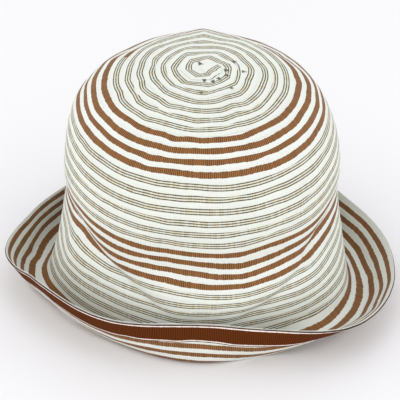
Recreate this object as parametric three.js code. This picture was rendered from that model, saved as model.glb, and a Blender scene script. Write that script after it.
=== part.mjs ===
// A sun hat sewn from striped grosgrain ribbon. The ribbon is coiled from the middle of the crown
// outwards, each turn lapped onto the one before: over the crown, down its side, and out into a
// brim that rolls under and turns up all round. A brown ribbon faces the brim's edge.
//
// Millimetres, +Z up. The hat rests on the roll of its brim with its front towards -Y, and the
// origin is on that surface, under the middle of the hat.
//
// Two numbers place a point on the hat. Its turn is the number of turns of ribbon between it and
// the middle of the crown, and its bearing is in degrees from the front towards the right side.

import * as THREE from 'three';

// Driving sizes
const TURN_WIDTH = 7.4; // what each turn shows of the ribbon's width
const CROWN_HEIGHT = 151.6; // the middle of the crown above the surface that the hat rests on
const CROWN_OVAL = 1.03; // a head is deeper than it is wide
const WALL = 1.6; // lapped ribbon, two to three layers and the air between them
const CROWN_LEAN = 5; // degrees that the crown leans forward
const LEAN_HEIGHT = 41.6; // the crown leans about a line across the hat at this height
const LEAN_TURNS = { full: 19, none: 27 }; // the lean dies away between these turns
const MIDDLE = { x: 0.4, y: 0.7 }; // the middle of the hat's outline, before it is moved to the origin

// Ribbon ends meet edge to edge in the solids, with this gap
const SEAM_GAP = 0.3;
const FACING_WIDTH = 13.2;
const FACING_THICKNESS = 0.8;

// How steeply the crown falls away, in degrees below level, at some of its turns
const CROWN = [
  { turn: 0, slope: 0 },
  { turn: 2, slope: 4 },
  { turn: 5, slope: 12 },
  { turn: 8, slope: 20 },
  { turn: 10.5, slope: 57 },
  { turn: 12, slope: 62 },
  { turn: 13.5, slope: 71 },
  { turn: 15, slope: 78 },
  { turn: 16.5, slope: 86 },
  { turn: 18, slope: 92 },
  { turn: 19.3, slope: 89 },
];

// The brim, in rows round the hat. It flares from the foot of the crown at one slope, falls at
// another, rolls under at a turn of the ribbon, rises at a third slope and ends at its edge's
// turn at a fourth, the lip. The curl is half of the turns that the roll takes. The brim is folded
// up close to the crown at the front and the back, and opens into a wing on each side.
const BRIM = [
  { bearing: 0, flare: 51, fall: 90, roll: 28.9, curl: 0.5, rise: 76, lip: 90, edge: 33.5 },
  { bearing: 22, flare: 50, fall: 94, roll: 28.9, curl: 0.6, rise: 45, lip: 98, edge: 33.3 },
  { bearing: 45, flare: 56, fall: 87, roll: 28.1, curl: 1.3, rise: 38, lip: 42, edge: 32.8 },
  { bearing: 65, flare: 80, fall: 72, roll: 28.9, curl: 1.3, rise: 46, lip: 52, edge: 32.9 },
  { bearing: 90, flare: 82, fall: 80, roll: 28.8, curl: 1.3, rise: 53, lip: 59, edge: 32.8 },
  { bearing: 120, flare: 84, fall: 88, roll: 28.9, curl: 1.3, rise: 74, lip: 80, edge: 32.8 },
  { bearing: 180, flare: 84, fall: 87, roll: 28.9, curl: 1.3, rise: 75, lip: 81, edge: 33 },
  { bearing: 235, flare: 84, fall: 88, roll: 29, curl: 1.3, rise: 89, lip: 95, edge: 33 },
  { bearing: 262, flare: 83, fall: 82, roll: 28.9, curl: 1.3, rise: 77, lip: 85, edge: 33 },
  { bearing: 280, flare: 95, fall: 70, roll: 28.9, curl: 1.2, rise: 53, lip: 59, edge: 33 },
  { bearing: 300, flare: 75, fall: 84, roll: 28.65, curl: 0.5, rise: 50, lip: 69, edge: 33.4 },
  { bearing: 330, flare: 79, fall: 88, roll: 28.6, curl: 0.55, rise: 45, lip: 79, edge: 33.3 },
];
const FLARE_TURN = 21; // the slope is the brim's own from here
const FALL_TURN = 24; // the flare has steepened to the fall here

// The folds that push the cloth in between the crown and the brim, one on each side of the front:
// the turn that their deepest line crosses at a bearing, and their depth there
const FOLDS = [
  { bearing: 10, turn: 26, depth: 0 },
  { bearing: 22, turn: 24.5, depth: 3 },
  { bearing: 35, turn: 22.8, depth: 4.5 },
  { bearing: 48, turn: 21, depth: 5 },
  { bearing: 60, turn: 19.9, depth: 4.5 },
  { bearing: 76, turn: 19.3, depth: 2.5 },
  { bearing: 95, turn: 19.2, depth: 0 },
  { bearing: 262, turn: 19.8, depth: 0 },
  { bearing: 282, turn: 20, depth: 3.5 },
  { bearing: 300, turn: 20.1, depth: 5 },
  { bearing: 312, turn: 20.9, depth: 5 },
  { bearing: 326, turn: 22.1, depth: 4.5 },
  { bearing: 340, turn: 23.7, depth: 3 },
  { bearing: 352, turn: 25.2, depth: 0 },
];
const FOLD_REACH = { up: 6, down: 14 }; // how soon they die away up the crown and down the brim
const FOLD_ROUND = 1; // the rounding of their deepest line

// The lengths of ribbon that make the hat, from the middle of the crown to the edge of the brim.
// The last striped length is in two pieces, which part where the brim has rolled under. The
// outer one has no last turn of its own and ends at the edge.
const LENGTHS = [
  { name: 'crown_tip', from: 0, to: 7.5, rows: 6, ribbon: 'lined' },
  { name: 'crown_shoulder', from: 7.5, to: 11.5, rows: 4, ribbon: 'striped' },
  { name: 'crown_side', from: 11.5, to: 17.5, rows: 4, ribbon: 'lined' },
  { name: 'crown_base', from: 17.5, to: 21.5, rows: 5, ribbon: 'striped' },
  { name: 'brim_slope', from: 21.5, to: 27.5, rows: 8, ribbon: 'lined' },
  { name: 'brim_roll', from: 27.5, to: 30.5, rows: 8, ribbon: 'striped' },
  { name: 'brim_turnup', from: 30.5, rows: 3, ribbon: 'striped' },
];

const RIBBONS = {
  lined: { color: '#e3e8dc', roughness: 0.85 },
  striped: { color: '#b5835a', roughness: 0.8 },
  facing: { color: '#6b2f14', roughness: 0.75 },
};

// Facets round the hat, and the turns between two sums of the crown's and the brim's slope
const BEARINGS = 60;
const SUM_STEP = 0.05;

const radians = THREE.MathUtils.degToRad;

// The brim's row at a bearing, on a smooth curve through the rows of BRIM and round again.
function brimAt(bearing) {
  const rowAt = (index) => {
    const laps = Math.floor(index / BRIM.length);
    const row = BRIM[index - laps * BRIM.length];
    return { ...row, bearing: row.bearing + 360 * laps };
  };
  const index = BRIM.findLastIndex((row) => row.bearing <= bearing);
  const [before, start, end, after] = [-1, 0, 1, 2].map((step) => rowAt(index + step));
  const span = end.bearing - start.bearing;
  const t = (bearing - start.bearing) / span;

  const blend = (column) => {
    const startRate = (end[column] - before[column]) / (end.bearing - before.bearing);
    const endRate = (after[column] - start[column]) / (after.bearing - start.bearing);
    return (
      start[column] * (1 + 2 * t) * (1 - t) ** 2 +
      startRate * span * t * (1 - t) ** 2 +
      end[column] * (3 - 2 * t) * t ** 2 -
      endRate * span * (1 - t) * t ** 2
    );
  };
  const columns = Object.keys(BRIM[0]).filter((column) => column !== 'bearing');
  return Object.fromEntries(columns.map((column) => [column, blend(column)]));
}

// The slopes that one bearing passes through, from the middle of the crown to the brim's edge.
function slopesOf(brim) {
  return [
    ...CROWN,
    { turn: FLARE_TURN, slope: brim.flare },
    { turn: FALL_TURN, slope: brim.fall },
    { turn: brim.roll - brim.curl, slope: brim.fall },
    { turn: brim.roll + brim.curl, slope: -brim.rise },
    { turn: brim.edge, slope: -brim.lip },
  ];
}

function slopeAt(slopes, turn) {
  const next = slopes.findIndex((row) => row.turn >= turn);
  const [low, high] = next > 0 ? [slopes[next - 1], slopes[next]] : slopes.slice(-2);
  return radians(THREE.MathUtils.mapLinear(turn, low.turn, high.turn, low.slope, high.slope));
}

// The hat's section at a bearing: its edge's turn, and its points as a function of the turn. The
// points lie on the ribbon's outer face, which is the inner face of the turned-up brim. They
// come from summing the slope.
function sectionAt(bearing) {
  const brim = brimAt(bearing);
  const slopes = slopesOf(brim);
  const points = [{ radius: 0, height: CROWN_HEIGHT, slope: 0 }];
  const steps = Math.ceil(brim.edge / SUM_STEP);
  for (let i = 1; i <= steps; i += 1) {
    const slope = slopeAt(slopes, i * SUM_STEP);
    const middle = slopeAt(slopes, (i - 0.5) * SUM_STEP);
    const last = points.at(-1);
    points.push({
      radius: last.radius + Math.cos(middle) * SUM_STEP * TURN_WIDTH,
      height: last.height - Math.sin(middle) * SUM_STEP * TURN_WIDTH,
      slope,
    });
  }
  const pointAt = (turn) => {
    const step = turn / SUM_STEP;
    const low = Math.min(Math.floor(step), steps - 1);
    const mix = (key) => THREE.MathUtils.lerp(points[low][key], points[low + 1][key], step - low);
    return { radius: mix('radius'), height: mix('height'), slope: mix('slope') };
  };
  return { edge: brim.edge, pointAt };
}

const bearings = Array.from({ length: BEARINGS }, (_, i) => (i * 360) / BEARINGS);
const sections = bearings.map(sectionAt);

// The place of a section's point in the hat: carried round to its bearing and leaning forward.
function place(radius, height, turn, bearing) {
  const x = radius * Math.sin(bearing);
  const y = -radius * Math.cos(bearing) * CROWN_OVAL;
  const lean = 1 - THREE.MathUtils.smoothstep(turn, LEAN_TURNS.full, LEAN_TURNS.none);
  const angle = radians(CROWN_LEAN) * lean;
  const rise = height - LEAN_HEIGHT;
  return new THREE.Vector3(
    x - MIDDLE.x,
    y * Math.cos(angle) - rise * Math.sin(angle) - MIDDLE.y,
    LEAN_HEIGHT + rise * Math.cos(angle) + y * Math.sin(angle),
  );
}

// How far the folds push the cloth in at a turn and a bearing, which is in degrees.
function foldDepth(turn, bearing) {
  const next = FOLDS.findIndex((row) => row.bearing >= bearing);
  if (next <= 0) {
    return 0;
  }
  const [low, high] = [FOLDS[next - 1], FOLDS[next]];
  const mix = (key) => THREE.MathUtils.mapLinear(bearing, low.bearing, high.bearing, low[key], high[key]);
  const away = (turn - mix('turn')) * TURN_WIDTH;
  const reach = away < 0 ? FOLD_REACH.up : FOLD_REACH.down;
  return mix('depth') * Math.exp((FOLD_ROUND - Math.hypot(away, FOLD_ROUND)) / reach);
}

// A point of the cloth at a turn, a bearing's index and a depth below its outer face. Where the
// roll would sink into the surface below it, the whole wall is lifted and so lies flat on it.
function clothPoint(turn, index, depth) {
  const { radius, height, slope } = sections[index].pointAt(turn);
  const bearing = radians(bearings[index]);
  const fold = foldDepth(turn, bearings[index]);
  const at = (d) => {
    const sunk = d + fold;
    return place(radius - sunk * Math.sin(slope), height - sunk * Math.cos(slope), turn, bearing);
  };
  const point = at(depth);
  point.z += Math.max(0, -at(WALL).z);
  return point;
}

// A closed solid from rings of points. A ring has a depth and gives its turn at each bearing's
// index. The rings go out along the outer face and back along the inner one. A ring at the
// middle of the crown is a single point.
function solidOfRings(rings) {
  const positions = [];
  const starts = rings.map(({ turnAt, depth }) => {
    const start = positions.length / 3;
    const count = turnAt(0) === 0 ? 1 : BEARINGS;
    for (let i = 0; i < count; i += 1) {
      positions.push(...clothPoint(turnAt(i), i, depth).toArray());
    }
    return { start, count };
  });
  const vertex = (ring, i) => ring.start + (ring.count === 1 ? 0 : i % BEARINGS);

  const faces = [];
  starts.forEach((ring, k) => {
    const next = starts[(k + 1) % starts.length];
    for (let i = 0; i < BEARINGS; i += 1) {
      if (next.count > 1) {
        faces.push(vertex(ring, i), vertex(next, i), vertex(next, i + 1));
      }
      if (ring.count > 1) {
        faces.push(vertex(ring, i), vertex(next, i + 1), vertex(ring, i + 1));
      }
    }
  });

  const geometry = new THREE.BufferGeometry();
  geometry.setAttribute('position', new THREE.Float32BufferAttribute(positions, 3));
  geometry.setIndex(faces);
  geometry.computeVertexNormals();
  return geometry;
}

// The rings of a length of ribbon between two turns and two depths. The turns are functions of
// the bearing's index.
function ringsBetween(from, to, rows, top, bottom) {
  const turns = Array.from({ length: rows + 1 }, (_, i) => {
    return (index) => THREE.MathUtils.lerp(from(index), to(index), i / rows);
  });
  const outer = turns.map((turnAt) => ({ turnAt, depth: top }));
  const inner = turns.map((turnAt) => ({ turnAt, depth: bottom })).reverse();
  return [...outer, ...inner];
}

function ribbonMesh(name, geometry, { color, roughness }) {
  const material = new THREE.MeshStandardMaterial({ color, roughness, metalness: 0 });
  const mesh = new THREE.Mesh(geometry, material);
  mesh.name = name;
  return mesh;
}

const hat = new THREE.Group();
const halfGap = SEAM_GAP / 2 / TURN_WIDTH;
const edgeTurn = (index) => sections[index].edge;

for (const { name, from, to, rows, ribbon } of LENGTHS) {
  const start = () => (from === 0 ? 0 : from + halfGap);
  const end = to ? () => to - halfGap : edgeTurn;
  const geometry = solidOfRings(ringsBetween(start, end, rows, 0, WALL));
  hat.add(ribbonMesh(name, geometry, RIBBONS[ribbon]));
}

// The facing lies under the brim's edge, a seam's gap clear of the ribbon that it is sewn to
const facingTurn = (index) => edgeTurn(index) - FACING_WIDTH / TURN_WIDTH;
const facingTop = WALL + SEAM_GAP;
const facingRings = ringsBetween(facingTurn, edgeTurn, 3, facingTop, facingTop + FACING_THICKNESS);
hat.add(ribbonMesh('edge_facing', solidOfRings(facingRings), RIBBONS.facing));

export default hat;
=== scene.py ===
"""A sun hat sewn from one long coil of striped grosgrain ribbon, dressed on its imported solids."""
import logging
import math
from dataclasses import dataclass, field
from enum import Enum

import bpy
import numpy as np
from mathutils import Matrix, Vector


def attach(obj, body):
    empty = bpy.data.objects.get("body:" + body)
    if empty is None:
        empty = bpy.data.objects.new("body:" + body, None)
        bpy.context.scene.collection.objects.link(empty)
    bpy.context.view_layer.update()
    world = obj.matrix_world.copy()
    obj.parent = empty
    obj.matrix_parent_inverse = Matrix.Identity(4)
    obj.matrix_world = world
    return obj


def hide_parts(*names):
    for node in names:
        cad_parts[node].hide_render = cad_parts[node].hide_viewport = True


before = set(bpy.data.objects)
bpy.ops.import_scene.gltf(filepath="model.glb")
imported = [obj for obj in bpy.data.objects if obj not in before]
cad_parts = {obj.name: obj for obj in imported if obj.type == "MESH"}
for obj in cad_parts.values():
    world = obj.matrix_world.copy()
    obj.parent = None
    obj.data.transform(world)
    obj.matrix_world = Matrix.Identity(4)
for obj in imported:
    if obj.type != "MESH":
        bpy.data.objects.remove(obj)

log = logging.getLogger("sun_hat")

Colour = tuple[float, float, float, float]
Place = tuple[float, float, float]
Socket = bpy.types.NodeSocket
Sockets = bpy.types.bpy_prop_collection

MM = 0.001
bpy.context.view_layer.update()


# The form under the ribbon


@dataclass(frozen=True)
class CrownRow:
    """How steeply the crown falls away, in degrees below level, at one turn of the ribbon."""

    turn: float
    slope: float


@dataclass(frozen=True)
class BrimRow:
    """The brim at one bearing: its slopes, and the turns where it rolls under and ends."""

    bearing: float
    flare: float
    fall: float
    roll: float
    curl: float
    rise: float
    lip: float
    edge: float


@dataclass(frozen=True)
class FoldRow:
    """Where the folds at the crown's foot run at one bearing, and how deep they are there."""

    bearing: float
    turn: float
    depth: float


def degrees_past(bearing: np.ndarray, middle: float) -> np.ndarray:
    """How far each bearing lies past a middle one, from -180 to 180 degrees."""
    return (bearing - middle + 180) % 360 - 180


@dataclass(frozen=True)
class Pull:
    """A change to the cloth at one place, which fades out evenly over some turns and degrees."""

    turn: float
    bearing: float
    turns: float
    degrees: float
    amount: float

    def at(self, turn: np.ndarray, bearing: np.ndarray) -> np.ndarray:
        """Fades the change out from its place.

        Args:
            turn: Turns from the middle of the crown.
            bearing: Bearings in degrees.

        Returns:
            How much of the change each of them gets.
        """
        beside = np.abs(degrees_past(bearing, self.bearing)) / self.degrees
        away = np.abs(turn - self.turn) / self.turns
        return self.amount * np.clip(1 - beside, 0, 1) * np.clip(1 - away, 0, 1)


CROWN = (
    CrownRow(turn=0, slope=0),
    CrownRow(turn=2, slope=4),
    CrownRow(turn=5, slope=12),
    CrownRow(turn=8, slope=20),
    CrownRow(turn=10.5, slope=57),
    CrownRow(turn=12, slope=62),
    CrownRow(turn=13.5, slope=71),
    CrownRow(turn=15, slope=78),
    CrownRow(turn=16.5, slope=86),
    CrownRow(turn=18, slope=92),
    CrownRow(turn=19.3, slope=89),
)

BRIM = (
    BrimRow(bearing=0, flare=51, fall=90, roll=28.9, curl=0.5, rise=76, lip=90, edge=33.5),
    BrimRow(bearing=22, flare=50, fall=94, roll=28.9, curl=0.6, rise=45, lip=98, edge=33.3),
    BrimRow(bearing=45, flare=56, fall=87, roll=28.1, curl=1.3, rise=38, lip=42, edge=32.8),
    BrimRow(bearing=65, flare=80, fall=72, roll=28.9, curl=1.3, rise=46, lip=52, edge=32.9),
    BrimRow(bearing=90, flare=82, fall=80, roll=28.8, curl=1.3, rise=53, lip=59, edge=32.8),
    BrimRow(bearing=120, flare=84, fall=88, roll=28.9, curl=1.3, rise=74, lip=80, edge=32.8),
    BrimRow(bearing=180, flare=84, fall=87, roll=28.9, curl=1.3, rise=75, lip=81, edge=33),
    BrimRow(bearing=235, flare=84, fall=88, roll=29, curl=1.3, rise=89, lip=95, edge=33),
    BrimRow(bearing=262, flare=83, fall=82, roll=28.9, curl=1.3, rise=77, lip=85, edge=33),
    BrimRow(bearing=280, flare=95, fall=70, roll=28.9, curl=1.2, rise=53, lip=59, edge=33),
    BrimRow(bearing=300, flare=75, fall=84, roll=28.65, curl=0.5, rise=50, lip=69, edge=33.4),
    BrimRow(bearing=330, flare=79, fall=88, roll=28.6, curl=0.55, rise=45, lip=79, edge=33.3),
)

FOLDS = (
    FoldRow(bearing=10, turn=26.0, depth=0),
    FoldRow(bearing=22, turn=24.5, depth=3.0 * MM),
    FoldRow(bearing=35, turn=22.8, depth=4.5 * MM),
    FoldRow(bearing=48, turn=21.0, depth=5.0 * MM),
    FoldRow(bearing=60, turn=19.9, depth=4.5 * MM),
    FoldRow(bearing=76, turn=19.3, depth=2.5 * MM),
    FoldRow(bearing=95, turn=19.2, depth=0),
    FoldRow(bearing=262, turn=19.8, depth=0),
    FoldRow(bearing=282, turn=20.0, depth=3.5 * MM),
    FoldRow(bearing=300, turn=20.1, depth=5.0 * MM),
    FoldRow(bearing=312, turn=20.9, depth=5.0 * MM),
    FoldRow(bearing=326, turn=22.1, depth=4.5 * MM),
    FoldRow(bearing=340, turn=23.7, depth=3.0 * MM),
    FoldRow(bearing=352, turn=25.2, depth=0),
)

# Small dents in the crown, by their depth in metres; a negative one stands out
DENTS = (
    Pull(turn=8.6, bearing=156, turns=1.7, degrees=24, amount=4.6 * MM),
    Pull(turn=8.8, bearing=128, turns=1.9, degrees=28, amount=3.6 * MM),
    Pull(turn=8.6, bearing=204, turns=1.7, degrees=20, amount=3.4 * MM),
    Pull(turn=8.8, bearing=226, turns=1.9, degrees=20, amount=3.4 * MM),
    Pull(turn=6.8, bearing=181, turns=2.2, degrees=12, amount=-2.2 * MM),
    Pull(turn=12.0, bearing=264, turns=3.6, degrees=42, amount=-3.0 * MM),
)


@dataclass
class HatForm:
    """The surface that the ribbon is sewn to, found by summing slopes out from the middle.

    A turn counts the ribbon's turns from the middle of the crown, and a bearing is in degrees
    from the front towards the right side. Lengths are in metres.
    """

    turn_width: float = 7.4 * MM
    crown_height: float = 151.6 * MM
    crown_oval: float = 1.03
    wall: float = 1.6 * MM
    lean: float = 5.0
    lean_height: float = 41.6 * MM
    lean_full: float = 19.0
    lean_none: float = 27.0
    middle: tuple[float, float] = (0.4 * MM, 0.7 * MM)
    flare_turn: float = 21.0
    fall_turn: float = 24.0
    last_turn: float = 34.5
    sum_step: float = 0.05
    crown: tuple[CrownRow, ...] = CROWN
    brim: tuple[BrimRow, ...] = BRIM
    folds: tuple[FoldRow, ...] = FOLDS
    fold_above: float = 6 * MM
    fold_below: float = 14 * MM
    fold_round: float = 1.0 * MM
    dents: tuple[Pull, ...] = DENTS
    radius: np.ndarray = field(init=False, repr=False)
    height: np.ndarray = field(init=False, repr=False)
    slope: np.ndarray = field(init=False, repr=False)
    edge: np.ndarray = field(init=False, repr=False)

    def __post_init__(self) -> None:
        """Sums the slopes of every whole degree into tables of radius and height."""
        turns = np.arange(0, self.last_turn + self.sum_step / 2, self.sum_step)
        middles = turns[1:] - self.sum_step / 2
        names = ("flare", "fall", "roll", "curl", "rise", "lip", "edge")
        columns = {name: self.brim_column(name) for name in names}
        self.edge = columns["edge"]
        keys = [row.turn for row in self.crown]
        slopes = [row.slope for row in self.crown]
        radius, height, slope = [], [], []
        for flare, fall, roll, curl, rise, lip, edge in zip(*columns.values()):
            at = [*keys, self.flare_turn, self.fall_turn, roll - curl, roll + curl, edge]
            values = [*slopes, flare, fall, fall, -rise, -lip]
            middle = np.radians(np.interp(middles, at, values))
            step = self.sum_step * self.turn_width
            radius.append(np.concatenate([[0], np.cumsum(np.cos(middle))]) * step)
            height.append(-np.concatenate([[0], np.cumsum(np.sin(middle))]) * step)
            slope.append(np.radians(np.interp(turns, at, values)))
        self.radius = np.array(radius)
        self.height = np.array(height) + self.crown_height
        self.slope = np.array(slope)

    def brim_column(self, name: str) -> np.ndarray:
        """Draws one column of the brim's rows as a smooth closed curve.

        Args:
            name: The column's name in BrimRow.

        Returns:
            A value for each whole degree round the hat.
        """
        at = np.array([row.bearing for row in self.brim], float)
        value = np.array([getattr(row, name) for row in self.brim], float)
        before = (at - np.roll(at, 1)) % 360
        after = (np.roll(at, -1) - at) % 360
        rate = (np.roll(value, -1) - np.roll(value, 1)) / (before + after)
        degree = np.arange(360)
        start = np.searchsorted(at, degree, side="right") - 1
        end = (start + 1) % len(self.brim)
        span = after[start]
        t = (degree - at[start]) / span
        return (
            value[start] * (1 + 2 * t) * (1 - t) ** 2
            + rate[start] * span * t * (1 - t) ** 2
            + value[end] * (3 - 2 * t) * t**2
            - rate[end] * span * (1 - t) * t**2
        )

    def edge_turn(self, bearing: np.ndarray) -> np.ndarray:
        """The turn of the brim's edge at each bearing."""
        return np.interp(np.asarray(bearing) % 360, np.arange(361), np.append(self.edge, self.edge[0]))

    def fold_depth(self, turn: np.ndarray, bearing: np.ndarray) -> np.ndarray:
        """How far the folds at the crown's foot push the cloth in, steeply above and gently below.

        Args:
            turn: Turns from the middle of the crown.
            bearing: Bearings in degrees.

        Returns:
            A depth for each, in metres.
        """
        at = np.array([row.bearing for row in self.folds], float)
        middle = np.interp(bearing % 360, at, [row.turn for row in self.folds], period=360)
        depth = np.interp(bearing % 360, at, [row.depth for row in self.folds], period=360)
        away = (turn - middle) * self.turn_width
        reach = np.where(away < 0, self.fold_above, self.fold_below)
        return depth * np.exp((self.fold_round - np.hypot(away, self.fold_round)) / reach)

    def look_up(self, table: np.ndarray, turn: np.ndarray, bearing: np.ndarray) -> np.ndarray:
        """Reads a table between its degrees and its turns.

        Args:
            table: One of the form's tables.
            turn: Turns from the middle of the crown.
            bearing: Bearings in degrees.

        Returns:
            The table's value at each turn and bearing.
        """
        row = np.clip(turn / self.sum_step, 0, table.shape[1] - 1.001)
        low = row.astype(int)
        part = row - low
        degree = bearing % 360
        first = degree.astype(int) % 360
        second = (first + 1) % 360
        share = degree - np.floor(degree)
        one = table[first, low] * (1 - part) + table[first, low + 1] * part
        two = table[second, low] * (1 - part) + table[second, low + 1] * part
        return one * (1 - share) + two * share

    def place(
        self, radius: np.ndarray, height: np.ndarray, turn: np.ndarray, bearing: np.ndarray
    ) -> np.ndarray:
        """Carries a section's points round to their bearing and leans them forward with the crown.

        Args:
            radius: Distances from the section's middle, in metres.
            height: Heights before the lean, in metres.
            turn: Turns from the middle of the crown.
            bearing: Bearings in degrees.

        Returns:
            The points, with x, y and z on the last axis.
        """
        angle = np.radians(bearing)
        x = radius * np.sin(angle)
        y = -radius * np.cos(angle) * self.crown_oval
        fade = np.clip((turn - self.lean_full) / (self.lean_none - self.lean_full), 0, 1)
        lean = np.radians(self.lean) * (1 - fade * fade * (3 - 2 * fade))
        rise = height - self.lean_height
        return np.stack(
            [
                x - self.middle[0],
                y * np.cos(lean) - rise * np.sin(lean) - self.middle[1],
                self.lean_height + rise * np.cos(lean) + y * np.sin(lean),
            ],
            axis=-1,
        )

    def points(self, turn: np.ndarray, bearing: np.ndarray, depth: np.ndarray) -> np.ndarray:
        """Finds points of the cloth, lifted where its underside would sink below the floor.

        Args:
            turn: Turns from the middle of the crown.
            bearing: Bearings in degrees.
            depth: Depths below the outer face, in metres.

        Returns:
            The points, with x, y and z on the last axis.
        """
        turn, bearing, depth = np.broadcast_arrays(turn, bearing, depth)
        dented = sum(dent.at(turn, bearing) for dent in self.dents)
        depth = depth + self.fold_depth(turn, bearing) + dented
        radius = self.look_up(self.radius, turn, bearing)
        height = self.look_up(self.height, turn, bearing)
        slope = self.look_up(self.slope, turn, bearing)
        point = self.place(radius - depth * np.sin(slope), height - depth * np.cos(slope), turn, bearing)
        under = self.place(
            radius - self.wall * np.sin(slope), height - self.wall * np.cos(slope), turn, bearing
        )
        point[..., 2] += np.maximum(0, -under[..., 2])
        return point

    def outward(self, turn: np.ndarray, bearing: np.ndarray) -> np.ndarray:
        """The direction out of the cloth's outer face, as unit vectors."""
        out = self.points(turn, bearing, np.zeros(1)) - self.points(turn, bearing, np.full(1, MM))
        return out / np.maximum(np.linalg.norm(out, axis=-1, keepdims=True), 1e-9)


# Small helpers


@dataclass(frozen=True)
class Wander:
    """A seeded wander along a length, with a kink at each knot, mostly between -1 and 1."""

    seed: int
    spacing: float
    knots: int = 4096

    def at(self, along: np.ndarray) -> np.ndarray:
        """Reads the wander evenly between its knots.

        Args:
            along: Distances along the ribbon, in metres.

        Returns:
            The wander's value at each of them.
        """
        values = np.random.default_rng(self.seed).normal(scale=0.5, size=self.knots)
        place = np.asarray(along) / self.spacing
        low = np.floor(place).astype(int)
        part = place - low
        return values[low % self.knots] * (1 - part) + values[(low + 1) % self.knots] * part


def read_row(row: dict[float, float], turn: np.ndarray) -> np.ndarray:
    """Reads a row of values, each at its turn, evenly between its turns."""
    return np.interp(turn, list(row), list(row.values()))


class Wiring:
    """Adds nodes to a tree, sets their values and joins their sockets."""

    MIX_SHARE, MIX_FIRST, MIX_SECOND, MIX_COLOUR = 0, 6, 7, 2

    def __init__(self, tree: bpy.types.NodeTree) -> None:
        """Starts wiring a tree, which may already hold nodes."""
        self.tree = tree

    def feed(self, socket: Socket, value: object) -> None:
        """Feeds an input socket.

        Args:
            socket: The input.
            value: Another socket, which is linked to it, or a plain value.
        """
        if isinstance(value, bpy.types.NodeSocket):
            self.tree.links.new(value, socket)
        else:
            socket.default_value = value

    def fill(self, node: bpy.types.Node, takes: dict[str | int, object]) -> None:
        """Feeds a node's inputs, each with a socket or a plain value."""
        for name, value in takes.items():
            self.feed(node.inputs[name], value)

    def node(
        self, kind: str, takes: dict[str | int, object] | None = None, **settings: object
    ) -> bpy.types.Node:
        """Adds a node.

        Args:
            kind: The node's type.
            takes: A socket or a plain value for some of its inputs.
            **settings: The node's own properties, which are set first.

        Returns:
            The node.
        """
        made = self.tree.nodes.new(kind)
        for name, value in settings.items():
            setattr(made, name, value)
        self.fill(made, takes or {})
        return made

    def first(self, kind: str, takes: dict[str | int, object] | None = None, **settings: object) -> Socket:
        """Adds a node and returns its first output."""
        return self.node(kind, takes, **settings).outputs[0]

    def math(self, operation: str, *values: object) -> Socket:
        """Adds a Math node and returns its result."""
        return self.first("ShaderNodeMath", dict(enumerate(values)), operation=operation)

    def mix(self, share: object, first: object, second: object) -> Socket:
        """Mixes two colours and returns the result."""
        takes = {self.MIX_SHARE: share, self.MIX_FIRST: first, self.MIX_SECOND: second}
        return self.node("ShaderNodeMix", takes, data_type="RGBA").outputs[self.MIX_COLOUR]

    def bump(self, height: Socket, strength: float, distance: float) -> Socket:
        """Adds a Bump node and returns its normal."""
        return self.first("ShaderNodeBump", {"Height": height, "Strength": strength, "Distance": distance})


def new_group(
    name: str, kind: str, takes: dict[str, str], gives: dict[str, str]
) -> tuple[Wiring, Sockets, Sockets]:
    """Starts a node group with named inputs and outputs.

    Args:
        name: The group's name.
        kind: The type of its tree.
        takes: Each input's name and kind of socket.
        gives: Each output's name and kind of socket.

    Returns:
        The group's wiring, the sockets that it is given and the sockets that it puts out.
    """
    tree = bpy.data.node_groups.new(name, kind)
    for direction, named in (("INPUT", takes), ("OUTPUT", gives)):
        for socket, content in named.items():
            tree.interface.new_socket(socket, in_out=direction, socket_type=f"NodeSocket{content}")
    wires = Wiring(tree)
    return wires, wires.node("NodeGroupInput").outputs, wires.node("NodeGroupOutput").inputs


def new_material(name: str) -> tuple[bpy.types.Material, Wiring, bpy.types.Node]:
    """Starts a material.

    Args:
        name: The material's name.

    Returns:
        The material, its wiring and its shader.
    """
    material = bpy.data.materials.new(name)
    material.use_nodes = True
    return material, Wiring(material.node_tree), material.node_tree.nodes["Principled BSDF"]


def linked(name: str, data: bpy.types.ID) -> bpy.types.Object:
    """Makes an object of some data and puts it in the scene.

    Args:
        name: The object's name.
        data: Its mesh, lamp or camera.

    Returns:
        The object, at the origin.
    """
    made = bpy.data.objects.new(name, data)
    bpy.context.scene.collection.objects.link(made)
    return made


# Finishes


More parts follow.
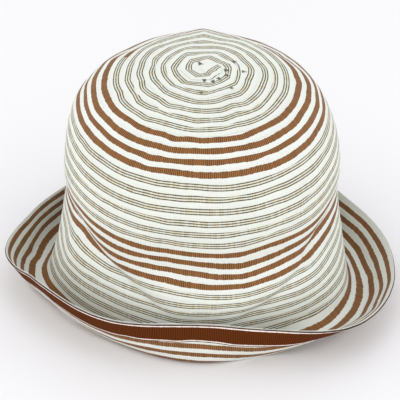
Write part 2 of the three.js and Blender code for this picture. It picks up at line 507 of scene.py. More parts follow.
class ClothEffects:
    """The shader groups that the ribbons share, each built once."""

    def __init__(self) -> None:
        """Builds the groups."""
        self.ribs = self._ribs()
        self.band = self._band()
        self.tone = self._tone()

    def _ribs(self) -> bpy.types.NodeTree:
        """Grosgrain ribs, which lie across the ribbon, each a little lighter or darker.

        Returns:
            The group.
        """
        takes = {"Along": "Float", "Pitch": "Float"}
        gives = {"Height": "Float", "Shade": "Float"}
        wires, given, put = new_group("grosgrain_ribs", "ShaderNodeTree", takes, gives)
        count = wires.math("DIVIDE", given["Along"], given["Pitch"])
        turn = wires.math("MULTIPLY", wires.math("FRACT", count), math.pi)
        wires.feed(put["Height"], wires.math("SINE", turn))
        number = wires.math("FLOOR", count)
        dice = wires.node("ShaderNodeTexWhiteNoise", {"W": number}, noise_dimensions="1D")
        wires.feed(put["Shade"], dice.outputs["Value"])
        return wires.tree

    def _band(self) -> bpy.types.NodeTree:
        """A woven band along the ribbon, whose edges step in and out from rib to rib.

        Returns:
            The group.
        """
        names = ("Across", "Centre", "Half Width", "Softness", "Stepping", "Rib Shade")
        takes = dict.fromkeys(names, "Float")
        wires, given, put = new_group("woven_band", "ShaderNodeTree", takes, {"Mask": "Float"})
        away = wires.math("ABSOLUTE", wires.math("SUBTRACT", given["Across"], given["Centre"]))
        step = wires.math("SUBTRACT", given["Rib Shade"], 0.5)
        away = wires.math("ADD", away, wires.math("MULTIPLY", step, given["Stepping"]))
        beyond = wires.math("SUBTRACT", given["Half Width"], away)
        share = wires.math("DIVIDE", beyond, given["Softness"])
        wires.feed(put["Mask"], wires.first("ShaderNodeClamp", {"Value": wires.math("ADD", share, 0.5)}))
        return wires.tree

    def _tone(self) -> bpy.types.NodeTree:
        """Slow patches of lighter and darker cloth, and the fuzz of its threads.

        Returns:
            The group.
        """
        takes = {"Place": "Vector", "Patches": "Float", "Fuzz": "Float"}
        gives = {"Patch": "Float", "Thread": "Float"}
        wires, given, put = new_group("cloth_tone", "ShaderNodeTree", takes, gives)
        for scale, out, detail in (("Patches", "Patch", 3.0), ("Fuzz", "Thread", 2.0)):
            takes = {"Vector": given["Place"], "Scale": given[scale], "Detail": detail}
            wires.feed(put[out], wires.first("ShaderNodeTexNoise", takes))
        return wires.tree

    def tone_in(self, wires: Wiring, patches: float, fuzz: float) -> Sockets:
        """Adds the tone to a material.

        Args:
            wires: The material's wiring.
            patches: The scale of the patches.
            fuzz: The scale of the threads' fuzz.

        Returns:
            The tone's outputs.
        """
        place = wires.node("ShaderNodeTexCoord").outputs["Object"]
        takes = {"Place": place, "Patches": patches, "Fuzz": fuzz}
        return wires.node("ShaderNodeGroup", takes, node_tree=self.tone).outputs


@dataclass(frozen=True)
class Band:
    """A woven band's half width, the width over which its edges blur, and how far they step."""

    half: float
    blur: float
    stepping: float


@dataclass(frozen=True)
class Weave:
    """A ribbon's material as it is wired, with the sockets that follow the ribbon."""

    wires: Wiring
    effects: ClothEffects
    along: Socket
    across: Socket
    ribs: Sockets
    tone: Sockets

    def lay(self, band: Band, centre: float = 0.0) -> Socket:
        """Adds a woven band.

        Args:
            band: The band's sizes.
            centre: The place of its middle, in metres from the ribbon's.

        Returns:
            The band's mask.
        """
        takes = {
            "Across": self.across,
            "Centre": centre,
            "Half Width": band.half,
            "Softness": band.blur,
            "Stepping": band.stepping,
            "Rib Shade": self.ribs["Shade"],
        }
        return self.wires.first("ShaderNodeGroup", takes, node_tree=self.effects.band)


@dataclass(frozen=True)
class RibbonFinish:
    """What all the ribbons share: ribbed matt cloth, read from the ribbon's own UV map."""

    name: str
    slot: str
    roughness: float = 0.78
    roughness_range: float = 0.12
    sheen: float = 0.1
    sheen_roughness: float = 0.45
    specular: float = 0.2
    rib_pitch: float = 1.15 * MM
    rib_relief: float = 0.1 * MM
    relief_strength: float = 0.7
    thread_relief: float = 0.5
    patches: float = 45.0
    fuzz: float = 2600.0

    def colour(self, weave: Weave) -> Socket:
        """Mixes the ribbon's colour; each kind of ribbon has its own."""
        raise NotImplementedError

    def material(self, effects: ClothEffects) -> bpy.types.Material:
        """Builds the ribbon's material.

        Args:
            effects: The shared shader groups.

        Returns:
            The material.
        """
        made, wires, shader = new_material(self.name)
        split = wires.node("ShaderNodeSeparateXYZ", {0: wires.first("ShaderNodeUVMap", uv_map="ribbon")})
        along, across = split.outputs["X"], split.outputs["Y"]
        takes = {"Along": along, "Pitch": self.rib_pitch}
        ribs = wires.node("ShaderNodeGroup", takes, node_tree=effects.ribs).outputs
        tone = effects.tone_in(wires, self.patches, self.fuzz)
        least = self.roughness - self.roughness_range / 2
        relief = wires.math("MULTIPLY_ADD", tone["Thread"], self.thread_relief, ribs["Height"])
        takes = {
            "Base Color": self.colour(Weave(wires, effects, along, across, ribs, tone)),
            "Roughness": wires.math("MULTIPLY_ADD", tone["Patch"], self.roughness_range, least),
            "Sheen Weight": self.sheen,
            "Sheen Roughness": self.sheen_roughness,
            "Specular IOR Level": self.specular,
            "Normal": wires.bump(relief, self.relief_strength, self.rib_relief),
        }
        wires.fill(shader, takes)
        return made


@dataclass(frozen=True)
class LinedFinish(RibbonFinish):
    """Cream ribbon with three fine broken olive lines along its middle."""

    cream: Colour = (0.77, 0.785, 0.70, 1)
    shade: Colour = (0.685, 0.70, 0.62, 1)
    beige: Colour = (0.60, 0.49, 0.25, 1)
    olive: Colour = (0.026, 0.020, 0.007, 1)
    # Painted shadow that darkens the cream inside the pleats near the middle of the crown
    fold_shadow: Colour = (0.10, 0.095, 0.06, 1)
    beige_band: Band = Band(half=1.86 * MM, blur=0.5 * MM, stepping=0.3 * MM)
    beige_least: float = 0.12
    beige_range: float = 0.5
    line: Band = Band(half=0.34 * MM, blur=0.2 * MM, stepping=0.1 * MM)
    line_gap: float = 1.55 * MM
    line_least: float = 0.74
    line_range: float = 0.3
    line_most: float = 0.97
    dash_pitch: float = 1.55 * MM

    def colour(self, weave: Weave) -> Socket:
        """Lays the beige between the lines and then the broken lines over the cream.

        Args:
            weave: The material as it is wired.

        Returns:
            The ribbon's colour, darkened where the pleats' painted shadows lie.
        """
        wires = weave.wires
        ground = wires.mix(weave.tone["Patch"], self.cream, self.shade)
        takes = {"Along": weave.along, "Pitch": self.dash_pitch}
        dashes = wires.node("ShaderNodeGroup", takes, node_tree=weave.effects.ribs).outputs
        light = wires.math("MULTIPLY_ADD", dashes["Shade"], self.beige_range, self.beige_least)
        ground = wires.mix(wires.math("MULTIPLY", weave.lay(self.beige_band), light), ground, self.beige)
        lines = 0.0
        for centre in (-self.line_gap, 0.0, self.line_gap):
            lines = wires.math("ADD", weave.lay(self.line, centre), lines)
        broken = wires.math("MULTIPLY_ADD", dashes["Height"], self.line_range, self.line_least)
        mask = wires.math("MULTIPLY", lines, wires.math("MINIMUM", broken, self.line_most))
        ground = wires.mix(mask, ground, self.olive)
        # Painted shadows of the pleats, kept on the mesh's points, darken the colour here
        pleat_shadows = wires.node("ShaderNodeAttribute", attribute_name="pleat_shadow")
        return wires.mix(pleat_shadows.outputs["Fac"], ground, self.fold_shadow)


@dataclass(frozen=True)
class StripedFinish(RibbonFinish):
    """Cream ribbon with a broad brown stripe, its ribs streaked light and dark and given a painted
    highlight along their crests.
    """

    cream: Colour = (0.77, 0.785, 0.715, 1)
    shade: Colour = (0.685, 0.70, 0.635, 1)
    brown: Colour = (0.130, 0.044, 0.010, 1)
    dark_brown: Colour = (0.028, 0.010, 0.004, 1)
    highlight_tan: Colour = (0.40, 0.185, 0.06, 1)
    stripe: Band = Band(half=1.98 * MM, blur=0.18 * MM, stepping=0.3 * MM)
    # How strong the painted crest highlight is: its least and its range
    crest_least: float = 0.5
    crest_range: float = 0.6

    def colour(self, weave: Weave) -> Socket:
        """Lays the brown stripe over the cream, with a painted tan highlight along the crests of its ribs.

        Args:
            weave: The material as it is wired.

        Returns:
            The ribbon's colour.
        """
        wires = weave.wires
        ground = wires.mix(weave.tone["Patch"], self.cream, self.shade)
        streaks = wires.mix(weave.ribs["Shade"], self.dark_brown, self.brown)
        # Painted highlight along the rib crests, its strength varying with the threads' fuzz
        highlight_strength = wires.math("MULTIPLY_ADD", weave.tone["Thread"], self.crest_range, self.crest_least)
        crest = wires.math("MULTIPLY", weave.ribs["Height"], weave.ribs["Height"])
        streaks = wires.mix(wires.math("MULTIPLY", crest, highlight_strength), streaks, self.highlight_tan)
        return wires.mix(weave.lay(self.stripe), ground, streaks)


@dataclass(frozen=True)
class FacingFinish(RibbonFinish):
    """Dark brown ribbon with a thin pale line and a darker selvedge along each side."""

    brown: Colour = (0.030, 0.006, 0.001, 1)
    # Painted highlight: the lighter brown of the rib crests
    lit_crest_brown: Colour = (0.135, 0.033, 0.005, 1)
    pale: Colour = (0.86, 0.76, 0.68, 1)
    dark: Colour = (0.05, 0.018, 0.008, 1)
    line: Band = Band(half=0.42 * MM, blur=0.2 * MM, stepping=0.15 * MM)
    line_at: float = 5.6 * MM
    selvedge: Band = Band(half=0.3 * MM, blur=0.2 * MM, stepping=0.1 * MM)
    selvedge_at: float = 6.5 * MM

    def colour(self, weave: Weave) -> Socket:
        """Lays the pale lines and the selvedges over the brown, which has a painted highlight on its rib
        crests.

        Args:
            weave: The material as it is wired.

        Returns:
            The ribbon's colour.
        """
        wires = weave.wires
        # Painted highlight: the brown lightens towards each rib's crest
        ground = wires.mix(weave.ribs["Height"], self.brown, self.lit_crest_brown)
        for side in (-1, 1):
            ground = wires.mix(weave.lay(self.line, side * self.line_at), ground, self.pale)
            ground = wires.mix(weave.lay(self.selvedge, side * self.selvedge_at), ground, self.dark)
        return ground


@dataclass(frozen=True)
class ThreadFinish:
    """Cream sewing thread."""

    name: str
    light: Colour = (0.74, 0.75, 0.69, 1)
    dusk: Colour = (0.52, 0.53, 0.48, 1)
    roughness: float = 0.6
    sheen: float = 0.2
    relief: float = 0.05 * MM
    relief_strength: float = 0.5
    patches: float = 300.0
    fuzz: float = 6000.0

    def material(self, effects: ClothEffects) -> bpy.types.Material:
        """Builds the thread's material.

        Args:
            effects: The shared shader groups.

        Returns:
            The material.
        """
        made, wires, shader = new_material(self.name)
        tone = effects.tone_in(wires, self.patches, self.fuzz)
        takes = {
            "Base Color": wires.mix(tone["Patch"], self.dusk, self.light),
            "Roughness": self.roughness,
            "Sheen Weight": self.sheen,
            "Normal": wires.bump(tone["Thread"], self.relief_strength, self.relief),
        }
        wires.fill(shader, takes)
        return made


# Geometry nodes


@dataclass(frozen=True)
class Pucker:
    """How high and how wide sewn cloth puckers, and the seed of its pattern."""

    height: float = 1.1 * MM
    size: float = 15 * MM
    seed: float = 3.0

    def values(self) -> dict[str, float]:
        """The pucker's inputs to a tree, as worked takes them."""
        return {"Pucker_Height": self.height, "Pucker_Size": self.size, "Seed": self.seed}


class SewingTrees:
    """The geometry node trees that give the ribbon its body and set the stitches."""

    PUCKER_SOCKETS = {"Pucker Height": "Float", "Pucker Size": "Float", "Seed": "Float"}
    WELD_DISTANCE = 0.002 * MM
    CRISP_ANGLE = 0.9

    def __init__(self) -> None:
        """Builds the trees."""
        self.pucker = self._pucker()
        self.ribbon = self._ribbon()
        self.stitches = self._stitches()

    def _pucker(self) -> bpy.types.NodeTree:
        """How far sewn cloth stands off its form, the same for a ribbon and its stitches.

        Returns:
            The group.
        """
        takes = {"Height": "Float", "Size": "Float", "Seed": "Float"}
        wires, given, put = new_group("pucker", "GeometryNodeTree", takes, {"Offset": "Vector"})
        takes = {
            "Vector": wires.first("GeometryNodeInputPosition"),
            "W": given["Seed"],
            "Scale": wires.math("DIVIDE", 1.0, given["Size"]),
            "Detail": 1.0,
        }
        noise = wires.first("ShaderNodeTexNoise", takes, noise_dimensions="4D")
        slack = wires.first("GeometryNodeInputNamedAttribute", {"Name": "slack"}, data_type="FLOAT")
        out = wires.first("GeometryNodeInputNamedAttribute", {"Name": "out"}, data_type="FLOAT_VECTOR")
        amount = wires.math("MULTIPLY", wires.math("SUBTRACT", noise, 0.5), given["Height"])
        amount = wires.math("MULTIPLY", amount, slack)
        offset = wires.first("ShaderNodeVectorMath", {0: out, "Scale": amount}, operation="SCALE")
        wires.feed(put["Offset"], offset)
        return wires.tree

    def _puckered(self, wires: Wiring, given: Sockets, geometry: Socket) -> Socket:
        """Moves geometry off its form by the pucker.

        Args:
            wires: The tree's wiring.
            given: The tree's inputs, with the pucker's among them.
            geometry: The geometry to move.

        Returns:
            The moved geometry.
        """
        takes = {"Height": given["Pucker Height"], "Size": given["Pucker Size"], "Seed": given["Seed"]}
        offset = wires.first("GeometryNodeGroup", takes, node_tree=self.pucker)
        return wires.first("GeometryNodeSetPosition", {"Geometry": geometry, "Offset": offset})

    def _ribbon(self) -> bpy.types.NodeTree:
        """Puckers a sheet that is laid out on the form and gives it a ribbon's thickness.

        Returns:
            The tree.
        """
        takes = {"Sheet": "Geometry", "Thickness": "Float", **self.PUCKER_SOCKETS, "Cloth": "Material"}
        wires, given, put = new_group("ribbon_body", "GeometryNodeTree", takes, {"Ribbon": "Geometry"})
        sheet = self._puckered(wires, given, given["Sheet"])
        takes = {"Mesh": sheet, "Offset Scale": given["Thickness"], "Individual": False}
        upper = wires.first("GeometryNodeExtrudeMesh", takes, mode="FACES")
        lower = wires.first("GeometryNodeFlipFaces", {"Mesh": sheet})
        both = wires.node("GeometryNodeJoinGeometry")
        for side in (lower, upper):
            wires.feed(both.inputs[0], side)
        takes = {"Geometry": both.outputs[0], "Distance": self.WELD_DISTANCE}
        weld = wires.first("GeometryNodeMergeByDistance", takes)
        smooth = wires.first("GeometryNodeSetShadeSmooth", {"Geometry": weld})
        takes = {"A": wires.first("GeometryNodeInputMeshEdgeAngle"), "B": self.CRISP_ANGLE}
        square = wires.first("FunctionNodeCompare", takes, data_type="FLOAT", operation="GREATER_THAN")
        takes = {"Geometry": smooth, "Selection": square, "Shade Smooth": False}
        crisp = wires.first("GeometryNodeSetShadeSmooth", takes, domain="EDGE")
        real = wires.first("GeometryNodeRealizeInstances", {"Geometry": crisp})
        dressed = wires.first("GeometryNodeSetMaterial", {"Geometry": real, "Material": given["Cloth"]})
        wires.feed(put["Ribbon"], dressed)
        return wires.tree

    def _stitches(self) -> bpy.types.NodeTree:
        """Sets stitches at an even pitch along a seam's path.

        Returns:
            The tree.
        """
        takes = {
            "Seam": "Geometry",
            "Pitch": "Float",
            "Stitch Length": "Float",
            "Thread": "Float",
            **self.PUCKER_SOCKETS,
            "Cotton": "Material",
        }
        wires, given, put = new_group("seam_stitches", "GeometryNodeTree", takes, {"Stitches": "Geometry"})
        seam = self._puckered(wires, given, given["Seam"])
        takes = {"Curve": wires.first("GeometryNodeMeshToCurve", {"Mesh": seam}), "Length": given["Pitch"]}
        spaced = wires.first("GeometryNodeResampleCurve", takes, mode="LENGTH")
        takes = {"Vector": wires.first("GeometryNodeInputTangent")}
        turned = wires.first("FunctionNodeAlignRotationToVector", takes, axis="Z")
        bead = wires.first("GeometryNodeMeshIcoSphere", {"Radius": 0.5, "Subdivisions": 1})
        takes = {"X": given["Thread"], "Y": given["Thread"], "Z": given["Stitch Length"]}
        size = wires.first("ShaderNodeCombineXYZ", takes)
        takes = {"Points": spaced, "Instance": bead, "Rotation": turned, "Scale": size}
        laid = wires.first("GeometryNodeInstanceOnPoints", takes)
        real = wires.first("GeometryNodeRealizeInstances", {"Geometry": laid})
        smooth = wires.first("GeometryNodeSetShadeSmooth", {"Geometry": real})
        dressed = wires.first("GeometryNodeSetMaterial", {"Geometry": smooth, "Material": given["Cotton"]})
        wires.feed(put["Stitches"], dressed)
        return wires.tree


def worked(
    source: bpy.types.Mesh, tree: bpy.types.GeometryNodeTree, name: str, **values: object
) -> bpy.types.Object:
    """Runs a tree on a mesh and keeps the result as a plain mesh.

    Args:
        source: The mesh that the tree takes.
        tree: The geometry node tree.
        name: The finished piece's name.
        **values: The tree's inputs, with _ for each space in their names.

    Returns:
        The finished piece, at the origin.
    """
    draft = linked(f"{name}_draft", source)
    modifier = draft.modifiers.new("work", "NODES")
    modifier.node_group = tree
    wanted = {key.replace("_", " "): value for key, value in values.items()}
    for item in tree.interface.items_tree:
        if item.item_type == "SOCKET" and item.in_out == "INPUT" and item.name in wanted:
            modifier[item.identifier] = wanted[item.name]
    depsgraph = bpy.context.evaluated_depsgraph_get()
    mesh = bpy.data.meshes.new_from_object(draft.evaluated_get(depsgraph))
    mesh.name = name
    draft.modifiers.remove(modifier)
    bpy.data.objects.remove(draft)
    return linked(name, mesh)


def mark(mesh: bpy.types.Mesh, name: str, values: np.ndarray) -> None:
    """Gives a mesh's points a named number each, or a named vector each.

    Args:
        mesh: The mesh.
        name: The name of the values.
        values: A number or a vector for each point.
    """
    kind, field_name = ("FLOAT", "value") if values.shape[-1:] != (3,) else ("FLOAT_VECTOR", "vector")
    attribute = mesh.attributes.new(name, kind, "POINT")
    attribute.data.foreach_set(field_name, values.reshape(-1).astype(np.float32))


def sheet_mesh(
    name: str, points: np.ndarray, uv: np.ndarray, out: np.ndarray, slack: np.ndarray, pleat_shadow: np.ndarray
) -> bpy.types.Mesh:
    """Makes a mesh of a grid of points, with its UV map, the pucker's attributes and the pleats' painted
    shadows.

    Args:
        name: The mesh's name.
        points: The grid's points, along by across.
        uv: Their distances along and across the ribbon, in metres.
        out: The direction out of the cloth at each point.
        slack: How loosely the cloth lies at each point.
        pleat_shadow: How deep in a pleat's painted shadow each point is, from 0 to 1.

    Returns:
        The mesh.
    """
    along, across = points.shape[:2]
    index = np.arange(along * across).reshape(along, across)
    faces = np.stack([index[:-1, :-1], index[:-1, 1:], index[1:, 1:], index[1:, :-1]], axis=-1)
    faces = faces.reshape(-1, 4)
    sample = faces[len(faces) // 2]
    corners = points.reshape(-1, 3)[sample]
    facing = np.cross(corners[1] - corners[0], corners[3] - corners[0])
    if np.dot(facing, out.reshape(-1, 3)[sample[0]]) < 0:
        faces = faces[:, ::-1]
    mesh = bpy.data.meshes.new(name)
    mesh.from_pydata(points.reshape(-1, 3).tolist(), [], faces.tolist())
    layer = mesh.uv_layers.new(name="ribbon")
    layer.data.foreach_set("uv", uv.reshape(-1, 2)[faces.reshape(-1)].astype(np.float32).reshape(-1))
    mark(mesh, "slack", slack.reshape(-1))
    mark(mesh, "pleat_shadow", pleat_shadow.reshape(-1))
    mark(mesh, "out", out)
    return mesh


def path_mesh(name: str, points: np.ndarray, out: np.ndarray, slack: np.ndarray) -> bpy.types.Mesh:
    """Makes a mesh of a row of points joined by edges, with the pucker's attributes.

    Args:
        name: The mesh's name.
        points: The points in their order.
        out: The direction out of the cloth at each point.
        slack: How loosely the cloth lies at each point.

    Returns:
        The mesh.
    """
    edges = np.stack([np.arange(len(points) - 1), np.arange(1, len(points))], axis=-1)
    mesh = bpy.data.meshes.new(name)
    mesh.from_pydata(points.tolist(), edges.tolist(), [])
    mark(mesh, "slack", slack)
    mark(mesh, "out", out)
    return mesh


# The coil of ribbon


class Kind(Enum):
    """The two ribbons that take turns along the coil."""

    LINED = "lined"
    STRIPED = "striped"


@dataclass(frozen=True)
class PleatShadow:
    """A pleat near the middle of the crown, drawn only as its painted shadow, a wedge that starts at its
    turn.
    """

    turn: float
    bearing: float
    width: float = 2.4 * MM
    length: float = 3.4 * MM


@dataclass(frozen=True)
class RibbonLength:
    """A length of one ribbon, between two turns of the coil, and the solids that it stands for."""

    name: str
    kind: Kind
    start: float
    end: float
    stands_for: tuple[str, ...]


# The pleats' painted shadows: dark wedges near the middle of the crown
PLEAT_SHADOWS = (
    PleatShadow(turn=1.5, bearing=0),
    PleatShadow(turn=1.7, bearing=23),
    PleatShadow(turn=1.65, bearing=43),
    PleatShadow(turn=1.75, bearing=68),
    PleatShadow(turn=1.7, bearing=90, width=3.2 * MM),
    PleatShadow(turn=0.75, bearing=205, width=3.0 * MM, length=4.5 * MM),
    PleatShadow(turn=3.15, bearing=90, length=2.6 * MM),
    PleatShadow(turn=3.2, bearing=43, length=2.2 * MM),
    PleatShadow(turn=3.05, bearing=-4, length=2.2 * MM),
    PleatShadow(turn=2.75, bearing=120, length=2.6 * MM),
)

# Places where the ribbon is pulled out from the middle of the crown, by their shift in turns
KINKS = (
    Pull(turn=19.5, bearing=-13, turns=4.0, degrees=22, amount=-0.45),
    Pull(turn=20.0, bearing=17, turns=4.0, degrees=20, amount=0.35),
    Pull(turn=17.5, bearing=52, turns=5.0, degrees=22, amount=0.4),
    Pull(turn=12.5, bearing=-5, turns=4.0, degrees=30, amount=-0.22),
    Pull(turn=21.4, bearing=300, turns=2.6, degrees=20, amount=-0.9),
    Pull(turn=31.0, bearing=74, turns=2.5, degrees=7, amount=0.3),
    Pull(turn=30.5, bearing=92, turns=2.5, degrees=9, amount=-0.25),
    Pull(turn=31.2, bearing=61, turns=2.0, degrees=6, amount=0.35),
    Pull(turn=31.0, bearing=284, turns=2.5, degrees=8, amount=0.3),
    Pull(turn=30.2, bearing=268, turns=2.5, degrees=8, amount=-0.25),
)

LENGTHS = (
    RibbonLength("tip_ribbon", Kind.LINED, 0.636, 7.0, ("crown_tip",)),
    RibbonLength("shoulder_ribbon", Kind.STRIPED, 7.0, 11.0, ("crown_shoulder",)),
    RibbonLength("side_ribbon", Kind.LINED, 11.0, 17.0, ("crown_side",)),
    RibbonLength("base_ribbon", Kind.STRIPED, 17.0, 21.0, ("crown_base",)),
    RibbonLength("slope_ribbon", Kind.LINED, 21.0, 27.0, ("brim_slope",)),
    RibbonLength("brim_ribbon", Kind.STRIPED, 27.0, 32.33, ("brim_roll", "brim_turnup")),
)

# How many millimetres the middle of the lapped ribbons lies below the solids, at some turns
MIDDLE_DEPTH = {0: 0.4, 24: 0.4, 28: 1.2, 31: 1.0, 34: 0.8}

# How much the sewn ribbon puckers, at some turns
SLACK = {0: 1, 3: 1, 8: 0.7, 13: 0.5, 17: 0.6, 20: 1, 24: 0.9, 27.5: 0.3, 29.5: 0.12, 31: 0.6, 34: 0.9}

# How far the ribbon's close wander carries it, in turns, at some turns
CLOSE_WANDER = {5: 0.16, 11: 0.05}


@dataclass
class RibbonCoil:
    """The coil: lengths of ribbon laid on the form, each turn's outer edge over the next turn.

    Places along the coil and across the ribbon are in turns, and other lengths in metres.
    """

    form: HatForm
    lengths: tuple[RibbonLength, ...] = LENGTHS
    kinks: tuple[Pull, ...] = KINKS
    pleat_shadows: tuple[PleatShadow, ...] = PLEAT_SHADOWS
    pleat_shadow_blur: float = 0.5 * MM
    pucker: Pucker = Pucker()
    join_bearing: float = 245.0
    half_width: float = 0.7
    lap_rise: float = 0.3 * MM
    thickness: float = 0.26 * MM
    steps_per_turn: int = 180
    steps_across: int = 7
    measured_turns: int = 33
    measured_steps: int = 60
    close_wander: Wander = Wander(seed=11, spacing=8 * MM)
    wide_wander: Wander = Wander(seed=12, spacing=37 * MM)
    wide_shift: float = 0.11
    steady_turn: float = 33.0
    steady_over: float = 2.0
    tip_sides: int = 7
    tip_bearing: float = 20.0
    tip_twist: float = 9.0
    tip_scale: float = 0.955
    tip_straight: float = 0.8
    tip_fades_over: float = 4.5
    tip_steps_across: int = 19
    tip_wider: float = 0.5
    tip_wider_until: float = 1.6
    tip_wider_over: float = 0.3
    middle_gap: float = 0.03
    least_turn: float = 0.02
    tail: float = 12 * MM
    tail_steps: int = 18
    tail_bearing: float = 51.4
    tail_reach: tuple[float, float] = (-1.05, 0.7)
    tail_taper: float = 0.35
    tail_bend: float = 5.0
    tail_lift: float = 0.3 * MM
    tail_ramp: float = 4.0
    pull_in: float = 0.336
    pull_until: float = 1.2
    pull_over: float = 0.564
    run_out: float = 31.23
    run_out_over: float = 0.15
    taper_start: float = 32.12
    taper_over: float = 0.21
    taper_width: float = 0.08
    seam_start: float = 1.2
    seam_end: float = 31.1
    seam_inset: float = 0.14
    stitch_pitch: float = 3.4 * MM
    stitch_length: float = 2.3 * MM
    thread: float = 0.2 * MM

    def bearing(self, coil: np.ndarray) -> np.ndarray:
        """The bearing that the coil has reached after a number of turns."""
        return self.join_bearing - 360.0 * coil

    def along(self, coil: np.ndarray) -> np.ndarray:
        """Measures the ribbon from the middle of the crown.

        Args:
            coil: Turns of the coil.

        Returns:
            The length of ribbon up to each of them, in metres.
        """
        turns = np.linspace(0, self.measured_turns, self.measured_turns * self.measured_steps + 1)
        middle = self.form.points(turns + 0.5, self.bearing(turns), np.zeros(1))
        steps = np.linalg.norm(np.diff(middle, axis=0), axis=1)
        return np.interp(coil, turns, np.concatenate([[0], np.cumsum(steps)]))

    def middle_depth(self, turn: np.ndarray) -> np.ndarray:
        """How far the middle of the lapped ribbons lies below the outer face of the solids."""
        return read_row(MIDDLE_DEPTH, turn) * MM

    def pleated(self, turn: np.ndarray, bearing: np.ndarray) -> np.ndarray:
        """Straightens the ribbon between pleats near the middle, where it can't curve.

        Args:
            turn: Turns from the middle of the crown.
            bearing: Bearings in degrees.

        Returns:
            The turn that each point is moved to, on the sides of a polygon.
        """
        side = 360.0 / self.tip_sides
        past = (bearing + self.tip_bearing + turn * self.tip_twist) % side - side / 2
        flat = math.cos(math.radians(side / 2)) / np.cos(np.radians(past))
        strength = 1 - np.clip((turn - self.tip_straight) / self.tip_fades_over, 0, 1)
        return turn * (1 + strength * (flat / self.tip_scale - 1))

    def pleat_shade(self, turn: np.ndarray, bearing: np.ndarray) -> np.ndarray:
        """Paints the shadows of the pleats, which are wedges that point outwards.

        Args:
            turn: Turns from the middle of the crown.
            bearing: Bearings in degrees.

        Returns:
            How dark each point's painted shadow is, from 0 to 1.
        """
        shade = np.zeros(turn.shape)
        for pleat_shadow in self.pleat_shadows:
            beside = np.radians(degrees_past(bearing, pleat_shadow.bearing)) * turn * self.form.turn_width
            out = (turn - pleat_shadow.turn) * self.form.turn_width / pleat_shadow.length
            half = pleat_shadow.width / 2 * (1 - np.clip(out, 0, 1))
            wedge = np.clip(1 + (half - np.abs(beside)) / self.pleat_shadow_blur, 0, 1)
            shade = np.maximum(shade, wedge * (out > 0) * (out < 1))
        return shade

    def kinked(self, turn: np.ndarray, bearing: np.ndarray) -> np.ndarray:
        """How far the kinks pull each point outwards, in turns."""
        return sum(kink.at(turn, bearing) for kink in self.kinks)

    def outer_reach(self, coil: np.ndarray) -> np.ndarray:
        """How far the ribbon reaches out from its middle line, in turns.

        Args:
            coil: Turns of the coil.

        Returns:
            A reach for each, up to the edge of the brim once the coil runs out.
        """
        free = self.form.edge_turn(self.bearing(coil)) - coil - 0.5
        share = np.clip((coil - self.run_out) / self.run_out_over, 0, 1)
        return self.half_width * (1 - share) + free * share

    def inner_reach(self, coil: np.ndarray) -> np.ndarray:
        """How far the ribbon reaches in from its middle line, in turns, as a negative number.

        Args:
            coil: Turns of the coil.

        Returns:
            A reach for each, further in at the start of the ribbon and tapered away at its end.
        """
        wider = np.clip((self.tip_wider_until - coil) / self.tip_wider_over, 0, 1)
        inner = -self.half_width - self.tip_wider * wider
        taper = np.clip((coil - self.taper_start) / self.taper_over, 0, 1)
        inner = inner * (1 - taper) + (self.outer_reach(coil) - self.taper_width) * taper
        return np.maximum(inner, self.middle_gap - coil - 0.5)

    def middle_turn(self, coil: np.ndarray, along: np.ndarray) -> np.ndarray:
        """The turn that the ribbon's middle line is sewn at, as it wanders along the coil.

        Args:
            coil: Turns of the coil.
            along: The length of ribbon up to each of them, in metres.

        Returns:
            A turn for each, pulled in near the straight end.
        """
        close = self.close_wander.at(along) * read_row(CLOSE_WANDER, coil)
        wide = self.wide_wander.at(along) * self.wide_shift
        fade = np.clip(coil, 0, 1) * np.clip((self.steady_turn - coil) / self.steady_over, 0, 1)
        pull = self.pull_in * np.clip((self.pull_until - coil) / self.pull_over, 0, 1)
        return coil + 0.5 + (close + wide) * fade - pull

    def straight_end(self, coil: float) -> tuple[np.ndarray, np.ndarray, np.ndarray, np.ndarray]:
        """The start of the ribbon, which lies straight across the middle of the crown.

        Args:
            coil: The turn of the coil that the straight end leads into.

        Returns:
            The reach across, the distance along, the turn and the bearing of each of its points.
        """
        gone = (1 - np.arange(self.tail_steps) / self.tail_steps)[:, None]
        outer = self.tail_reach[1] - self.tail_taper * np.clip(2 * gone - 1, 0, 1)
        share = np.linspace(0, 1, self.tip_steps_across)
        reach = self.tail_reach[0] * (1 - share) + outer * share
        first = math.radians(self.bearing(coil))
        straight = math.radians(self.tail_bearing)
        across = first + (straight - first) * np.clip(gone * self.tail_bend, 0, 1)
        radius = coil + 0.5 - self.pull_in
        run = gone * self.tail / self.form.turn_width
        right = radius * math.sin(first) + run * math.cos(straight) + reach * np.sin(across)
        front = radius * math.cos(first) - run * math.sin(straight) + reach * np.cos(across)
        back = np.broadcast_to(-gone * self.tail, reach.shape)
        return reach, back, np.hypot(right, front), np.degrees(np.arctan2(right, front))

